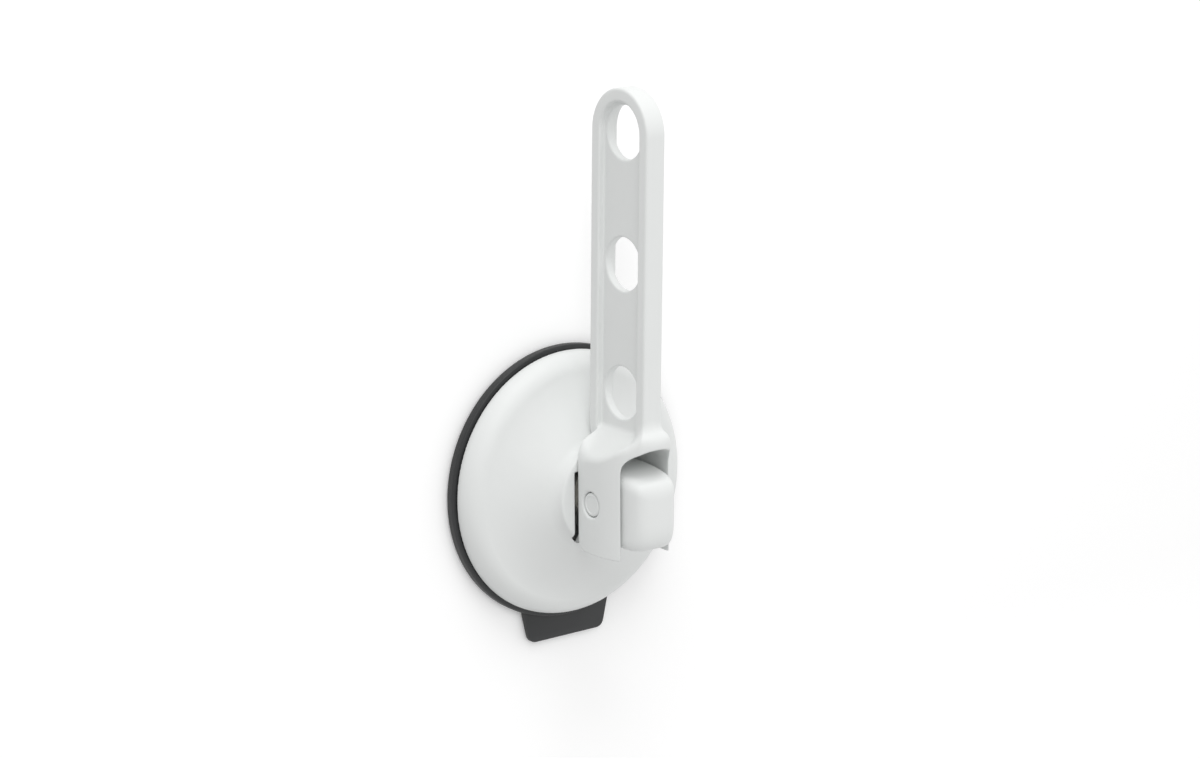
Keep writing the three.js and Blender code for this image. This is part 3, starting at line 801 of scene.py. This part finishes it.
def wall_paint():
    """Matt white paint that is drawn only on the side that faces the room."""
    material = bpy.data.materials.new("wall_paint")
    material.use_nodes = True
    tree = material.node_tree
    shader = tree.nodes["Principled BSDF"]
    shader.inputs["Base Color"].default_value = (0.98, 0.98, 0.98, 1)
    shader.inputs["Roughness"].default_value = 0.9
    shader.inputs["Specular IOR Level"].default_value = 0.1
    shader.inputs["Emission Color"].default_value = (1, 1, 1, 1)
    shader.inputs["Emission Strength"].default_value = WALL_GLOW
    side = tree.nodes.new("ShaderNodeNewGeometry").outputs["Backfacing"]
    clear = tree.nodes.new("ShaderNodeBsdfTransparent").outputs["BSDF"]
    mix = tree.nodes.new("ShaderNodeMixShader")
    tree.links.new(side, mix.inputs["Fac"])
    tree.links.new(shader.outputs["BSDF"], mix.inputs[1])
    tree.links.new(clear, mix.inputs[2])
    tree.links.new(mix.outputs["Shader"], tree.nodes["Material Output"].inputs["Surface"])
    return material


def make_wall():
    """A pale wall just behind the part, that sweeps into a floor."""
    line = [(WALL_Y, WALL_TOP)]
    for i in range(SWEEP_STEPS + 1):
        angle = math.radians(90 * i / SWEEP_STEPS)
        y = WALL_Y - SWEEP_R + SWEEP_R * math.cos(angle)
        line.append((y, FLOOR_Z + SWEEP_R - SWEEP_R * math.sin(angle)))
    line.append((FLOOR_FRONT, FLOOR_Z))
    build = bmesh.new()
    left = [build.verts.new((-WALL_HALF, y, z)) for y, z in line]
    right = [build.verts.new((WALL_HALF, y, z)) for y, z in line]
    for i in range(len(line) - 1):
        build.faces.new((left[i], left[i + 1], right[i + 1], right[i]))
    mesh = bpy.data.meshes.new("wall")
    build.to_mesh(mesh)
    build.free()
    mesh.polygons.foreach_set("use_smooth", [True] * len(mesh.polygons))
    mesh.materials.append(wall_paint())
    wall = link("wall", mesh)
    wall.visible_shadow = False
    wall.visible_diffuse = False


make_wall()


def area_light(name, spot, aim, size, power):
    """A round soft light; sizes in metres and power in watts."""
    light = bpy.data.lights.new(name, "AREA")
    light.shape = "DISK"
    light.size = size
    light.energy = power
    made = link(name, light)
    made.location = spot
    made.rotation_euler = (Vector(aim) - Vector(spot)).to_track_quat("-Z", "Y").to_euler()


centre = (cad_bounds[0] + cad_bounds[1]) / 2
area_light("top_light", spot=(-0.3, -0.7, 1.7), aim=centre, size=1.0, power=9.5)
area_light("key_light", spot=(-0.9, -1.3, 1.1), aim=centre, size=0.7, power=5)

SKY_BRIGHT_SIDE = Vector((0.88, 0, 0.47))
SKY_MEAN = 0.765
SKY_SWING = 0.215


def make_world():
    """A soft white surround, brighter above and to the right than below and to the left."""
    world = bpy.data.worlds.new("studio")
    world.use_nodes = True
    tree = world.node_tree
    toward = tree.nodes.new("ShaderNodeVectorMath")
    toward.operation = "DOT_PRODUCT"
    toward.inputs[1].default_value = SKY_BRIGHT_SIDE.normalized()
    tree.links.new(tree.nodes.new("ShaderNodeTexCoord").outputs["Generated"], toward.inputs[0])
    level = tree.nodes.new("ShaderNodeMapRange")
    level.inputs["From Min"].default_value = -1
    level.inputs["To Min"].default_value = SKY_MEAN - SKY_SWING
    level.inputs["To Max"].default_value = SKY_MEAN + SKY_SWING
    tree.links.new(toward.outputs["Value"], level.inputs["Value"])
    tree.links.new(level.outputs["Result"], tree.nodes["Background"].inputs["Strength"])
    tree.nodes["Background"].inputs["Color"].default_value = (1, 1, 1, 1)
    bpy.context.scene.world = world


make_world()
bpy.context.scene.view_settings.view_transform = "Standard"

# ---- camera ----------------------------------------------------------------------------------

VIEW_LEFT = math.radians(37.42)
VIEW_ABOVE = math.radians(13.04)
VIEW_ROLL = math.radians(-0.366)
VIEW_DISTANCE = 1.0517
VIEW_AIM = centre + Vector((-0.0034, 0.0020, -0.0012))
LENS = 82.23
SENSOR = 36


def make_camera():
    data = bpy.data.cameras.new("camera")
    data.lens = LENS
    data.sensor_width = SENSOR
    camera = link("camera", data)
    level = math.cos(VIEW_ABOVE)
    away = Vector((-math.sin(VIEW_LEFT) * level, -math.cos(VIEW_LEFT) * level, math.sin(VIEW_ABOVE)))
    camera.location = VIEW_AIM + VIEW_DISTANCE * away
    turn = (-away).to_track_quat("-Z", "Y").to_matrix()
    camera.rotation_euler = (turn @ Matrix.Rotation(VIEW_ROLL, 3, "Z")).to_euler()
    bpy.context.scene.camera = camera


make_camera()
